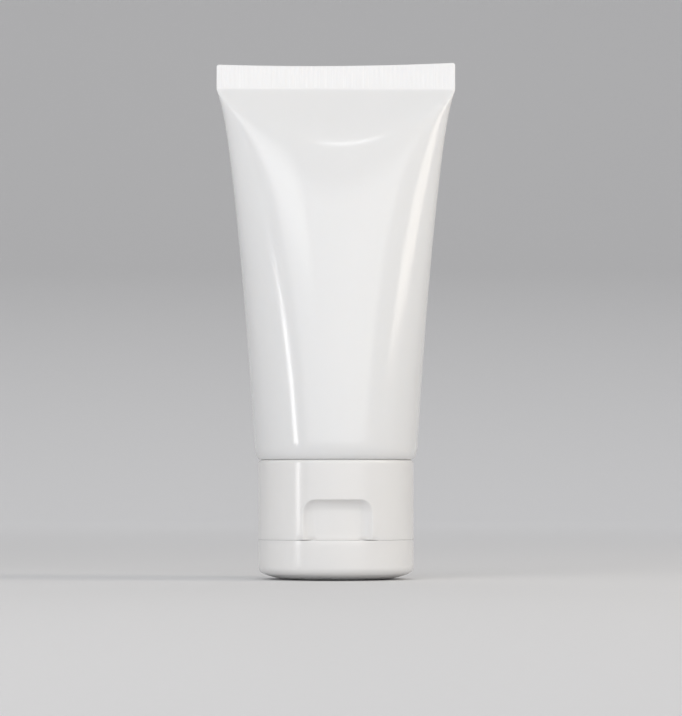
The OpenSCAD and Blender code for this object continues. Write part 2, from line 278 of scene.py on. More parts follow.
def rounded(corners, steps=5):
    """Points of a closed polyline of (r, z, radius) corners, an arc at each with a radius."""
    points = []
    count = len(corners)
    longest = 0.48  # share of a side that an arc may take
    straight = math.radians(88)  # half angle from which a corner counts as straight
    for k, (r, z, radius) in enumerate(corners):
        here = np.array([r, z])
        before = np.array(corners[k - 1][:2]) - here
        after = np.array(corners[(k + 1) % count][:2]) - here
        reach = [np.linalg.norm(v) for v in (before, after)]
        if radius == 0 or min(reach) == 0:
            points.append(here)
            continue
        before, after = before / reach[0], after / reach[1]
        half = math.acos(np.clip(before @ after, -1, 1)) / 2
        if half > straight:
            points.append(here)
            continue
        cut = min(radius / math.tan(half), longest * reach[0], longest * reach[1])
        bisector = (before + after) / np.linalg.norm(before + after)
        middle = here + bisector * cut / math.cos(half)
        spoke = here + before * cut - middle
        side = np.sign(before[0] * after[1] - before[1] * after[0])
        for t in np.linspace(0, -side * (math.pi - 2 * half), steps):
            turn = np.array([[math.cos(t), -math.sin(t)], [math.sin(t), math.cos(t)]])
            points.append(middle + turn @ spoke)
    return np.array(points)


def filled(line, spacing):
    """The same closed polyline with points added, so that no step exceeds the spacing."""
    points = []
    for a, b in zip(line, np.roll(line, -1, axis=0)):
        steps = max(1, math.ceil(np.linalg.norm(b - a) / spacing))
        points += [a + (b - a) * k / steps for k in range(steps)]
    return np.array(points)


def turned(r, z, turn):
    """Points of rings about the Z axis, one for each radius and height, as one list."""
    points = np.stack([r * np.cos(turn), r * np.sin(turn), z + 0 * turn], axis=-1)
    return points.reshape(-1, 3)


def lathe(profile, columns):
    """Points and outward quads of a (r, z) profile that runs clockwise with r to the right."""
    turn = np.linspace(0, 2 * math.pi, columns, endpoint=False)
    points = turned(profile[:, :1], profile[:, 1:], turn)
    return points, grid_faces(len(profile), columns, closed_rows=True)


def bevelled(piece, width):
    """Rounds a piece's edges, and welds the corners where two rounds meet."""
    rounding = piece.modifiers.new("Rounding", "BEVEL")
    rounding.width = width
    rounding.segments = 3
    rounding.limit_method = "ANGLE"
    weld = piece.modifiers.new("Weld", "WELD")
    weld.merge_threshold = 0.001 * MM
    return applied(piece)


def applied(piece):
    """Turns a piece with modifiers into a plain mesh and removes them."""
    graph = bpy.context.evaluated_depsgraph_get()
    graph.update()
    mesh = bpy.data.meshes.new_from_object(piece.evaluated_get(graph))
    old = piece.data
    piece.modifiers.clear()
    piece.data = mesh
    bpy.data.meshes.remove(old)
    mesh.name = piece.name
    return piece


# Materials


def wire(tree, node, inputs):
    """Sets or links a node's inputs, in a list by order or in a dict by name or number.

    A node that is given for an input stands for its first output.
    """
    for key, value in inputs.items() if isinstance(inputs, dict) else enumerate(inputs):
        socket = node.inputs[key]
        if isinstance(value, bpy.types.Node):
            value = value.outputs[0]
        if isinstance(value, bpy.types.NodeSocket):
            tree.links.new(value, socket)
        else:
            socket.default_value = value


def add_node(tree, kind, inputs=(), **attributes):
    """A new node with its attributes set and its inputs wired."""
    node = tree.nodes.new(kind)
    for key, value in attributes.items():
        setattr(node, key, value)
    wire(tree, node, inputs)
    return node


def new_material(name):
    """A material with a Principled shader, its tree and its Object coordinates."""
    material = bpy.data.materials.new(name)
    material.use_nodes = True
    tree = material.node_tree
    shader = tree.nodes["Principled BSDF"]
    spot = add_node(tree, "ShaderNodeTexCoord").outputs["Object"]
    return material, tree, shader, spot


def lumps(tree, spot, size, detail=2, stretch=(1, 1, 1)):
    """A noise whose lumps have about the given size in metres, stretched along each axis."""
    scale = [1 / (size * s) for s in stretch]
    mapped = add_node(tree, "ShaderNodeMapping", {"Vector": spot, "Scale": scale})
    return add_node(tree, "ShaderNodeTexNoise", {"Vector": mapped, "Scale": 1, "Detail": detail})


def shades(base, depth):
    """The two colours of a Mix node: one darker by a share, and the colour itself."""
    return {6: (*(c * (1 - depth) for c in base), 1), 7: (*base, 1)}


def bumps(tree, layers):
    """The last of a stack of Bump nodes, from layers of (height, strength, distance)."""
    node = None
    for height, strength, distance in layers:
        inputs = {"Height": height, "Strength": strength, "Distance": distance}
        if node is not None:
            inputs["Normal"] = node
        node = add_node(tree, "ShaderNodeBump", inputs)
    return node


def extruded_film():
    """Opaque white polyethylene film, extruded and lacquered, glossy over faint die lines."""
    colours = settings().finishes
    material, tree, shader, spot = new_material("extruded_polyethylene_film")
    clouds = lumps(tree, spot, 14 * MM)
    die_lines = lumps(tree, spot, 0.5 * MM, 1, (1, 1, 60))
    unevenness = lumps(tree, spot, 16 * MM, 1, (1, 1, 1.6))
    grain = lumps(tree, spot, 0.25 * MM, 1)

    # The pressed band is rougher and whiter
    height = add_node(tree, SEPARATE, [spot]).outputs["Z"]
    z_seal, soft = sleeve_heights()[2], 0.4 * MM
    pressed = add_node(tree, MAP_RANGE, [height, z_seal - soft, z_seal + soft, 0, 1])
    streaky = add_node(tree, MAP_RANGE, [die_lines, 0.3, 0.7, 0.12, 0.16])
    roughness = add_node(tree, MATH, [pressed, 0.12, streaky], operation="MULTIPLY_ADD")
    white = {0: clouds, **shades(colours.film, 0.015)}
    body = add_node(tree, MIX, white, data_type="RGBA").outputs[2]
    whole = {0: pressed, 6: body, 7: (*colours.seal, 1)}
    layers = [
        (unevenness, 0.5, 0.25 * MM),
        (die_lines, 0.12, 0.01 * MM),
        (grain, 0.05, 0.004 * MM),
    ]
    wire(tree, shader, {
        "Base Color": add_node(tree, MIX, whole, data_type="RGBA").outputs[2],
        "Roughness": roughness,
        "Normal": bumps(tree, layers),
        "IOR": 1.51,
        "Subsurface Weight": 0.4,
        "Subsurface Radius": (1.0, 0.95, 0.9),
        "Subsurface Scale": 0.7 * MM,
    })
    return material


def moulded_head():
    """Natural polyethylene, injection moulded: satin, slightly milky, with a fine texture."""
    material, tree, shader, spot = new_material("moulded_polyethylene_head")
    grain = lumps(tree, spot, 0.3 * MM)
    milky = {0: lumps(tree, spot, 6 * MM), **shades(settings().finishes.head, 0.03)}
    wire(tree, shader, {
        "Base Color": add_node(tree, MIX, milky, data_type="RGBA").outputs[2],
        "Roughness": add_node(tree, MAP_RANGE, [grain, 0.3, 0.7, 0.36, 0.46]),
        "Normal": bumps(tree, [(grain, 0.25, 0.01 * MM)]),
        "IOR": 1.51,
        "Subsurface Weight": 0.3,
        "Subsurface Radius": (1.0, 0.95, 0.85),
        "Subsurface Scale": 1.2 * MM,
    })
    return material


def moulded_cap():
    """White polypropylene, moulded in a polished tool: glossy, with a trace of orange peel."""
    material, tree, shader, spot = new_material("moulded_polypropylene_cap")
    flow = lumps(tree, spot, 9 * MM, 2, (1, 1, 0.5))
    peel = lumps(tree, spot, 1.1 * MM, 1)
    sink = lumps(tree, spot, 9 * MM, 0)
    flowing = {0: flow, **shades(settings().finishes.cap, 0.02)}
    wire(tree, shader, {
        "Base Color": add_node(tree, MIX, flowing, data_type="RGBA").outputs[2],
        "Roughness": add_node(tree, MAP_RANGE, [flow, 0.3, 0.7, 0.16, 0.2]),
        "Normal": bumps(tree, [(sink, 0.3, 0.06 * MM), (peel, 0.12, 0.006 * MM)]),
        "IOR": 1.49,
        "Subsurface Weight": 0.4,
        "Subsurface Radius": (1.0, 0.97, 0.93),
        "Subsurface Scale": 0.8 * MM,
    })
    return material


def plain_paper():
    """Matt paper: pale grey with a faint tooth where it is seen, darker for its returned light."""
    colours = settings().finishes
    material, tree, shader, spot = new_material("paper_sweep")
    tooth = {0: lumps(tree, spot, 2 * MM, 3), **shades(colours.floor, 0.02)}
    pale = add_node(tree, MIX, tooth, data_type="RGBA").outputs[2]
    rays = add_node(tree, "ShaderNodeLightPath").outputs
    kinds = [rays["Is Camera Ray"], rays["Is Glossy Ray"]]
    direct = add_node(tree, MATH, kinds, operation="MAXIMUM")
    kinds = [direct, rays["Is Transmission Ray"]]
    direct = add_node(tree, MATH, kinds, operation="MAXIMUM")
    paper = {0: direct, 6: (*colours.bounce, 1), 7: pale}
    wire(tree, shader, {
        "Base Color": add_node(tree, MIX, paper, data_type="RGBA").outputs[2],
        "Roughness": 0.85,
    })
    return material


# Sleeve

# Powers of the share of length with which outline and section change
SWELL_POWER, FLARE_POWER, BELLY_POWER, TUCK_POWER = 2.5, 16, 1.45, 8
# How crisp the ridge between panel and belly is
RIDGE = 6
# Power of the lip's corner, where 0.5 is a quarter of an ellipse and less is squarer
LIP_POWER = 0.38


def half_width(s):
    """Half the sleeve's width at share s of its length, from 0 at the shoulder to the seal."""
    sizes = settings().sleeve
    flare = 1 - sizes.taper - sizes.swell
    grown = sizes.taper * s + sizes.swell * s**SWELL_POWER + flare * s**FLARE_POWER
    return TUBE_R + (SLEEVE_HIGH.x - TUBE_R) * grown


def soft_min(a, b):
    """The lesser of two lengths that aren't negative, with a soft ridge where they are alike."""
    low, high = np.maximum(np.minimum(a, b), 0), np.maximum(np.maximum(a, b), 1e-9)
    return low * (1 + (low / high) ** RIDGE) ** (-1 / RIDGE)


def sleeve_heights():
    """Heights of the sleeve's lip, its body, its seal, and its cut without the rise."""
    sizes = settings().sleeve
    z_tail = Z_CUT - sizes.cut_rise
    return Z_LIP, Z_LIP + sizes.lip_height, z_tail - sizes.seal_height, z_tail


def body_ring(s, turn, inside):
    """Ring of the sleeve's surface at share s."""
    sizes = settings().sleeve
    z_body, z_seal = sleeve_heights()[1:3]
    half_seal = sizes.seal_thickness / 2
    across, up = np.cos(turn), np.sin(turn)
    belly = (TUBE_R - half_seal) * (1 - (1 - sizes.belly_left) * s**BELLY_POWER)
    wedge = (z_seal - z_body) * (1 - s) * math.tan(sizes.panel_angle)
    if inside:
        less = sizes.film - half_seal
        tuck = sizes.film * (1 + 2 * s**TUCK_POWER)
        depth = soft_min((belly - less) * np.abs(up), wedge - less)
        x = (half_width(s) - tuck) * across
    else:
        edge = half_seal * np.abs(up) ** (1 - 0.8 * s * s)
        depth = edge + soft_min(belly * np.abs(up), wedge)
        x = half_width(s) * across
    z = np.full_like(x, z_body + (z_seal - z_body) * s)
    return np.stack([x, np.sign(up) * depth, z], axis=-1)


def lip_ring(u, turn, inside):
    """Ring of the rounded corner, where u runs from 0 at its top to 1 at its lowest line."""
    sizes = settings().sleeve
    z_body = sleeve_heights()[1]
    less = sizes.film if inside else 0
    bend = (sizes.lip_turn - less) * (1 - u * u) ** LIP_POWER
    return turned(TUBE_R - sizes.lip_turn + bend, z_body - (sizes.lip_height - less) * u, turn)


def seal_ring(t, turn, nip):
    """Ring of the pressed band, where t runs from 0 at its foot to 1 at the cut."""
    sizes = settings().sleeve
    ring = body_ring(1.0, turn, False)
    across = np.cos(turn)
    cut = sizes.cut_rise * across + sizes.cut_sag * (across**2 - 1)
    ring[:, 0] -= nip * across
    ring[:, 2] = sleeve_heights()[2] + sizes.seal_height * t + t * cut
    return ring


def stitched(coarse, ratio, coarse_start, fine_start):
    """Triangles up from a ring of points to one with the given number of times as many."""
    faces = []
    half = ratio // 2
    for j in range(coarse):
        after = (j + 1) % coarse
        for k in range(j * ratio, (j + 1) * ratio):
            foot = coarse_start + (j if k < j * ratio + half else after)
            faces.append((foot, fine_start + (k + 1) % (coarse * ratio), fine_start + k))
        top = fine_start + j * ratio + half
        faces.append((coarse_start + j, coarse_start + after, top))
    return faces


def sleeve_mesh(material):
    """The whole sleeve: pocket, lip, body, pressed band and cut."""
    sizes = settings().sleeve
    columns, ratio = 240, 8
    crowding = 1.7  # crowds the rings towards the seal
    pocket_end = 0.996  # share of the length at which the inside closes
    turn = np.linspace(0, 2 * math.pi, columns, endpoint=False)
    shares = 1 - (1 - np.linspace(0, 1, 110)) ** crowding
    inner_shares = (1 - (1 - np.linspace(0, 1, 50)) ** crowding) * pocket_end
    lip_steps = np.sin(np.linspace(0, math.pi / 2, 15))
    rings = [body_ring(s, turn, True) for s in inner_shares[::-1]]
    rings += [lip_ring(u, turn, True) for u in lip_steps[1:]]
    rings += [lip_ring(u, turn, False) for u in lip_steps[::-1]]
    rings += [body_ring(s, turn, False) for s in shares[1:-1]]
    faces = grid_faces(len(rings), columns) + flat_end(columns, 0, flip=False)

    # The band has more columns, for the crimp
    fine = columns * ratio
    fine_turn = np.linspace(0, 2 * math.pi, fine, endpoint=False)
    steps = np.concatenate([[0.0], np.linspace(0.04, 0.95, 12), [1.0]])
    nips = np.where(steps == 1, sizes.corner_nip, 0)
    band = [seal_ring(t, fine_turn, nip) for t, nip in zip(steps, nips)]
    start = len(rings) * columns
    faces += stitched(columns, ratio, start - columns, start)
    faces += grid_faces(len(band), fine, start=start)
    faces += flat_end(fine, start + (len(band) - 1) * fine, flip=True)
    return new_piece("sleeve_film", np.concatenate([*rings, *band]), faces, material, 40)


def flat_end(columns, start, flip):
    """Strip of quads that closes a flat ring from its front half to its back half."""
    half = columns // 2
    faces = [(0, columns - 1, 1)]
    faces += [(j, columns - j, columns - j - 1, j + 1) for j in range(1, half - 1)]
    faces += [(half - 1, half + 1, half)]
    faces = [tuple(start + k for k in f) for f in faces]
    return [f[::-1] for f in faces] if flip else faces


# Geometry Nodes


def node_group(name, defaults):
    """A geometry node group with an input for each named default and one for a material."""
    group = bpy.data.node_groups.new(name, "GeometryNodeTree")
    sockets = group.interface
    sockets.new_socket("Geometry", in_out="OUTPUT", socket_type="NodeSocketGeometry")
    sockets.new_socket("Geometry", in_out="INPUT", socket_type="NodeSocketGeometry")
    kinds = {float: "NodeSocketFloat", int: "NodeSocketInt", tuple: "NodeSocketVector"}
    for label, value in defaults.items():
        socket = sockets.new_socket(label, in_out="INPUT", socket_type=kinds[type(value)])
        socket.default_value = value
    sockets.new_socket("Material", in_out="INPUT", socket_type="NodeSocketMaterial")
    given, output = add_node(group, "NodeGroupInput"), add_node(group, "NodeGroupOutput")
    return group, given.outputs, output


def finish_group(group, geometry, given, output):
    """Ends a group in Realize Instances and Set Material."""
    real = add_node(group, "GeometryNodeRealizeInstances", [geometry])
    inputs = {"Geometry": real, "Material": given["Material"]}
    wire(group, output, [add_node(group, "GeometryNodeSetMaterial", inputs)])
    return group


def run_group(piece, group, values):
    """Runs a group on a piece with its inputs set by identifier, and keeps the result."""
    modifier = piece.modifiers.new(group.name, "NODES")
    modifier.node_group = group
    sockets = [s for s in group.interface.items_tree if s.in_out == "INPUT"]
    for socket in sockets:
        if socket.name in values:
            modifier[socket.identifier] = values[socket.name]
    return applied(piece)


def crimp_group():
    """Presses upright grooves into both faces of the band between two heights."""
    group, given, output = node_group("crimp", {
        "Pitch": 1 * MM,
        "Depth": 0.07 * MM,
        "Foot": 0.1,
        "Head": 0.11,
        "Half Width": 0.025,
    })
    soft = 0.7 * MM  # the height over which the grooves fade
    spot = add_node(group, "GeometryNodeInputPosition")
    x, y, z = add_node(group, SEPARATE, [spot]).outputs
    turns = add_node(group, MATH, [x, given["Pitch"]], operation="DIVIDE")
    phase = add_node(group, MATH, [turns, 2 * math.pi], operation="MULTIPLY")
    wave = add_node(group, MATH, [phase], operation="COSINE")
    groove = add_node(group, MATH, [wave, 0.5, 0.5], operation="MULTIPLY_ADD")

    # A mask that falls to nothing at the foot, the head and both sides
    across = add_node(group, MATH, [x], operation="ABSOLUTE")
    edges = ((z, given["Foot"], soft), (given["Head"], z, soft))
    mask = 1
    for high, low, fade in (*edges, (given["Half Width"], across, 2 * soft)):
        inside = add_node(group, MATH, [high, low], operation="SUBTRACT")
        inside = add_node(group, MATH, [inside, fade], operation="DIVIDE")
        mask = add_node(group, MATH, [inside, mask], operation="MINIMUM")
    mask = add_node(group, "ShaderNodeClamp", [mask])

    pressed = add_node(group, MATH, [groove, mask], operation="MULTIPLY")
    depth = add_node(group, MATH, [pressed, given["Depth"]], operation="MULTIPLY")
    side = add_node(group, MATH, [y], operation="SIGN")
    outward = add_node(group, MATH, [side, depth], operation="MULTIPLY")
    inward = add_node(group, MATH, [outward, -1], operation="MULTIPLY")
    offset = add_node(group, COMBINE, {"Y": inward})
    inputs = {"Geometry": given["Geometry"], "Offset": offset}
    moved = add_node(group, "GeometryNodeSetPosition", inputs)
    return finish_group(group, moved, given, output)


def thread_group():
    """Winds a thread of trapezoid section about the Z axis, fading at both ends."""
    group, given, output = node_group("thread", {
        "Radius": 8 * MM,
        "Height": 8 * MM,
        "Turns": 3.0,
        "Root": 1.3 * MM,
        "Crest": 0.5 * MM,
        "Depth": 0.6 * MM,
        "Base": 0.012,
    })
    spiral = add_node(group, "GeometryNodeCurveSpiral", {
        "Resolution": 72,
        "Rotations": given["Turns"],
        "Start Radius": given["Radius"],
        "End Radius": given["Radius"],
        "Height": given["Height"],
    })
    lift = add_node(group, COMBINE, {"Z": given["Base"]})
    inputs = {"Geometry": spiral, "Translation": lift}
    placed = add_node(group, "GeometryNodeTransform", inputs)
    upright = add_node(group, "GeometryNodeSetCurveNormal", {"Curve": placed}, mode="Z_UP")

    # Size along the thread, which falls from 1 to a twentieth over its first and last eighteenth
    along = add_node(group, "GeometryNodeSplineParameter")
    off_middle = add_node(group, MATH, [along, 0.5], operation="SUBTRACT")
    off_middle = add_node(group, MATH, [off_middle], operation="ABSOLUTE")
    fade = add_node(group, MATH, [off_middle, -18, 9], operation="MULTIPLY_ADD")
    fade = add_node(group, "ShaderNodeClamp", [fade, 0.05, 1])
    section = add_node(group, "GeometryNodeCurvePrimitiveQuadrilateral", {
        "Height": given["Depth"],
        "Bottom Width": given["Root"],
        "Top Width": given["Crest"],
        "Offset": 0,
    }, mode="TRAPEZOID")
    swept = add_node(group, "GeometryNodeCurveToMesh", {
        "Curve": upright,
        "Profile Curve": section,
        "Scale": fade,
        "Fill Caps": True,
    })
    return finish_group(group, swept, given, output)


def rib_group():
    """Sets a block outwards from each of a ring's points, shortened at the front."""
    group, given, output = node_group("ribs", {
        "Count": 8,
        "Radius": 0.01,
        "Base": 0.0,
        "Front Share": 1.0,
        "Size": (0.005, 0.001, 0.01),
    })
    inputs = {"Vertices": given["Count"], "Radius": given["Radius"]}
    ring = add_node(group, "GeometryNodeMeshCircle", inputs)
    lift = add_node(group, COMBINE, {"Z": given["Base"]})
    raised = add_node(group, "GeometryNodeTransform", {"Geometry": ring, "Translation": lift})
    block = add_node(group, "GeometryNodeMeshCube", {"Size": given["Size"]})
    half = [given["Size"], (0.5, 0, 0)]
    half = add_node(group, "ShaderNodeVectorMath", half, operation="MULTIPLY")
    block = add_node(group, "GeometryNodeTransform", {"Geometry": block, "Translation": half})
    spot = add_node(group, "GeometryNodeInputPosition")
    x, y = add_node(group, SEPARATE, [spot]).outputs[:2]
    bearing = add_node(group, MATH, [y, x], operation="ARCTAN2")
    facing = add_node(group, COMBINE, {"Z": bearing})

    # The ribs behind the recess are shorter
    limit = add_node(group, MATH, [given["Radius"], -0.9], operation="MULTIPLY")
    front = add_node(group, MATH, [y, limit], operation="LESS_THAN")
    change = add_node(group, MATH, [given["Front Share"], 1], operation="SUBTRACT")
    reach = add_node(group, MATH, [front, change, 1], operation="MULTIPLY_ADD")
    scale = add_node(group, COMBINE, {"X": reach, "Y": 1, "Z": 1})
    ribs = add_node(group, "GeometryNodeInstanceOnPoints", {
        "Points": raised,
        "Instance": block,
        "Rotation": facing,
        "Scale": scale,
    })
    return finish_group(group, ribs, given, output)


def empty_piece(name):
    """An object with an empty mesh, for a group that makes its own geometry."""
    piece = bpy.data.objects.new(name, bpy.data.meshes.new(name))
    bpy.context.scene.collection.objects.link(piece)
    return piece


# Cap and head

# Where the thread on the neck starts above the neck's end, and the width of a thread's crest
THREAD_START, THREAD_CREST = 1.6 * MM, 0.5 * MM
# Rounding of the two edges at the seam
SEAM_EDGE = 0.06 * MM
# Rounding of most inner edges
FILLET = 0.3 * MM
# Heights above the seam over which a relief's rise and its easing fade
RISE_REACH, EASE_REACH = 1.1 * MM, 0.6 * MM
# How steeply the recess's surface leaves the cap outside its outline
RECESS_STEEP = 6


def from_front(turn):
    """Angle from the front, where the recess is, for an angle about the Z axis."""
    return (turn + 1.5 * math.pi) % (2 * math.pi) - math.pi


def recess_floor(turn, z, grow):
    """Radius of the recess's floor and cove at an angle and height, grown by an amount."""
    sizes, z_base = settings().recess, base_levels()[0]
    corner, cove = sizes.corner_r + grow, sizes.cove_r + grow
    beyond = np.abs(from_front(turn)) - (sizes.width / 2 - sizes.corner_r) / CAP_R
    beyond = np.clip(beyond, 0, math.pi / 3)
    across, up = CAP_R * np.sin(beyond), (z - z_base) - (sizes.height - sizes.corner_r)
    straight = np.where(across > 0, 0, np.minimum(up, 0))
    outside = np.hypot(across, np.maximum(up, 0)) + straight - corner
    into = np.clip(cove + outside, 0, cove)
    floor = CAP_R - sizes.depth - grow + cove - np.sqrt(cove**2 - into**2)
    return (floor + RECESS_STEEP * np.maximum(outside, 0)) / np.cos(beyond)


def front_radius(turn, z, radius, grow):
    """Radius of a round wall, cut back by the recess with a rounded edge."""
    edge = settings().recess.edge
    floor = recess_floor(turn, z, grow)
    meet = np.clip(0.5 + (radius - floor) / (2 * edge), 0, 1)
    return radius * (1 - meet) + floor * meet - edge * meet * (1 - meet)


def relief_rise(x):
    """How far the skirt's lower edge rises over the lens at each foot of the recess."""
    sizes = settings().recess
    off = (np.abs(x) - sizes.relief_spacing / 2) / (sizes.relief_width / 2)
    return sizes.relief_height * np.maximum(1 - off**2, 0)


def cap_turns():
    """Angles round the cap with the front at -90 degrees, crowded at the recess's sides."""
    fine = np.arcsin(np.arange(4.2 * MM, 9.4 * MM, 0.12 * MM) / CAP_R)
    middle = np.linspace(-fine[0], fine[0], 25)[1:-1]
    rest = np.linspace(fine[-1], 2 * math.pi - fine[-1], 150)[1:-1]
    return np.concatenate([-fine[::-1], middle, fine, rest]) - math.pi / 2


def skirt_heights(low, high):
    """Heights of the skirt's rows, crowded at its foot and at the recess's upper edge."""
    top = low + settings().recess.height
    stops = [low, low + 1.2 * MM, top - 3.4 * MM, top - 0.6 * MM, top + 0.5 * MM, high]
    counts = [7, 13, 22, 20, 12]
    rows = [np.linspace(a, b, n)[1:] for a, b, n in zip(stops, stops[1:], counts)]
    return np.concatenate(rows)


def base_levels():
    """Heights of the base: seam, step, deck outside and inside, and collar."""
    cap = settings().cap
    z_base = Z_LID_RIM + cap.seam
    z_step = z_base - cap.step_height
    z_deck_out = z_step + 0.4 * MM
    return z_base, z_step, z_deck_out, z_deck_out + cap.deck, Z_CAP_RIM - cap.collar_drop


def skirt_rings(turn):
    """Radii and heights of the outer wall's rings, from the seam up over the rim."""
    cap, recess = settings().cap, settings().recess
    z_base = base_levels()[0]
    rise = np.where(np.sin(turn) < 0, relief_rise(CAP_R * np.cos(turn)), 0)
    eased = rise / recess.relief_height * recess.relief_depth
    foot = front_radius(turn, z_base + rise, CAP_R, 0)

    # The seam's rounding ends at the recess, whose floor stands back behind the lid's rim
    kept = 1 - np.clip((CAP_R - foot) / (2 * recess.edge), 0, 1)
    corner = z_base + SEAM_EDGE * np.array([0, 0.3, 0.65, 1])
    rings = []
    for z in [*corner, *skirt_heights(z_base + SEAM_EDGE, Z_CAP_RIM - cap.rim_r)]:
        lifted = z + rise * np.exp(-(((z - z_base) / RISE_REACH) ** 2))
        below = max(z_base + SEAM_EDGE - z, 0)
        inset = kept * (SEAM_EDGE - math.sqrt(max(SEAM_EDGE**2 - below**2, 0)))
        inset = inset + eased * np.exp(-(((z - z_base) / EASE_REACH) ** 2))
        rings.append((front_radius(turn, lifted, CAP_R, 0) - inset, lifted))
    for t in np.linspace(0, math.pi / 2, 9)[1:]:
        rim_r = CAP_R - cap.rim_r * (1 - math.cos(t))
        rings.append((rim_r, Z_CAP_RIM - cap.rim_r * (1 - math.sin(t))))
    return rings, foot - kept * SEAM_EDGE - eased, rise


def cap_base_mesh(material):
    """The base as one closed turned section, with its front cut back by the recess."""
    cap, recess = settings().cap, settings().recess
    z_base, z_step, z_deck_out, z_deck_in, z_collar = base_levels()
    z_mouth = BASE_LOW.z
    in_r = CAP_R - cap.wall
    step_r = in_r - cap.step_gap
    inner_step = step_r - cap.step_wall
    collar_out = cap.collar_r + cap.collar_wall
    plug_r = settings().head.bore_r - cap.plug_gap
    plug_in = plug_r - cap.plug_wall
    z_plug = Z_NECK_END + cap.plug_height
    bead_z = z_step + 0.8 * MM
    flange = z_base + cap.deck
    lead, funnel = 0.4 * MM, 0.8 * MM
    f = FILLET
    turn = cap_turns()
    rings, edge, rise = skirt_rings(turn)

    # Inner wall down to the flange, bulging behind the recess, and in to the step
    rings += [(in_r + 0.1 * MM, Z_CAP_RIM), (in_r, Z_CAP_RIM - 0.1 * MM)]
    for z in np.linspace(z_base + recess.height + 3 * MM, flange + f, 36):
        rings.append((front_radius(turn, z + 0 * turn, in_r, recess.wall), z))
    wall_foot = front_radius(turn, flange + 0 * turn, in_r, recess.wall)
    start = inner_step + 0.02 * MM
    for t, height in ((0.3, 0.49 * f), (0.9, 0)):
        rings.append((start + (wall_foot - start) * (1 - t), flange + height))

    # Step, deck, collar, plug and spout, then round under the flange to the seam
    corners = [
        (inner_step, flange - 0.1 * MM, 0),
        (inner_step, z_deck_in, f),
        (collar_out, z_deck_in, f),
        (collar_out, z_collar, f),
        (cap.collar_r, z_collar, f),
        (cap.collar_r, Z_NECK_END, f / 2),
        (plug_r, Z_NECK_END, f / 2),
        (plug_r, z_plug - lead, f),
        (plug_r - lead, z_plug, f / 2),
        (plug_in, z_plug, f),
        (plug_in, z_deck_in, f),
        (cap.orifice_r + funnel, z_deck_in, f),
        (cap.orifice_r, z_deck_in - funnel, f),
        (cap.orifice_r, z_mouth, f / 2),
        (cap.mouth_r - 0.1 * MM, z_mouth, f),
        (cap.mouth_r + cap.flare, z_deck_out, f),
        (inner_step, z_deck_out, f / 3),
        (inner_step, z_step, f / 2),
        (step_r - lead, z_step, f / 2),
        (step_r, z_step + lead, f / 3),
        (step_r + cap.bead, bead_z, f / 2),
        (step_r, bead_z + lead, f / 3),
        (step_r, z_base, 0),
    ]
    rings += [tuple(point) for point in rounded(corners, 4)]
    for t in (0.15, 0.4, 0.7, 0.95):
        rings.append((step_r + (edge - step_r) * t, z_base + rise * t**0.5))
    r, z = (np.array([ring[k] + 0 * turn for ring in rings]) for k in (0, 1))
    faces = grid_faces(len(rings), len(turn), closed_rows=True)
    return new_piece("flip_cap_base", turned(r, z, turn), faces, material, 40)


def foot_curve():
    """Outline from the flat foot up to the side, and the height at which it gets there."""
    cap = settings().cap
    corner, slope = cap.foot_corner, cap.foot_slope
    start = CAP_R - corner + corner * math.sin(slope)
    reach = start - cap.foot_r
    rise = reach * math.tan(slope) / 2
    z_side = rise + corner * math.cos(slope)
    curve = [(cap.foot_r + reach * t, rise * t * t) for t in np.linspace(0, 1, 14)[:-1]]
    for t in np.linspace(slope, math.pi / 2, 18):
        curve.append((CAP_R - corner + corner * math.sin(t), z_side - corner * math.cos(t)))
    return curve, z_side


def lid_mesh(material):
    """The lid as one turned section with closed poles."""
    cap = settings().cap
    in_r = CAP_R - cap.wall
    z_tip = BASE_LOW.z + cap.pin_reach
    axis_r = 0.02 * MM  # radius of the ring round each pole
    curve, z_side = foot_curve()
    inside = [
        (CAP_R, z_side, 0),
        (CAP_R, Z_LID_RIM, SEAM_EDGE),
        (in_r, Z_LID_RIM, 0.2 * MM),
        (in_r, z_side, 1.5 * MM),
        (in_r - cap.wall, cap.lid_end, 1.2 * MM),
        (cap.pin_r + 1 * MM, cap.lid_end, 0.4 * MM),
        (cap.pin_r, cap.lid_end + 1 * MM, 0.6 * MM),
        (cap.pin_r, z_tip, 0.6 * MM),
        (axis_r, z_tip, 0),
        (axis_r, 0, 0),
    ]
    closing = rounded(inside, 6)[1:-1]
    profile = filled(np.array([(axis_r, 0), (3 * MM, 0), (6 * MM, 0), *curve, *closing]), 1.2 * MM)
    tip = int(np.flatnonzero(np.isclose(profile[:, 1], z_tip))[-1])
    profile = profile[: tip + 1]
    columns = 240
    turn = np.linspace(0, 2 * math.pi, columns, endpoint=False)
    rings = turned(profile[:, :1], profile[:, 1:], turn)
    faces = grid_faces(len(profile), columns)
    poles = [[0, 0, profile[0, 1]], [0, 0, profile[-1, 1]]]
    first, last = len(rings), len(rings) + 1
    top = (len(profile) - 1) * columns
    for j in range(columns):
        after = (j + 1) % columns
        faces += [(first, after, j), (last, top + j, top + after)]
    return new_piece("flip_cap_lid", np.concatenate([rings, poles]), faces, material, 40)


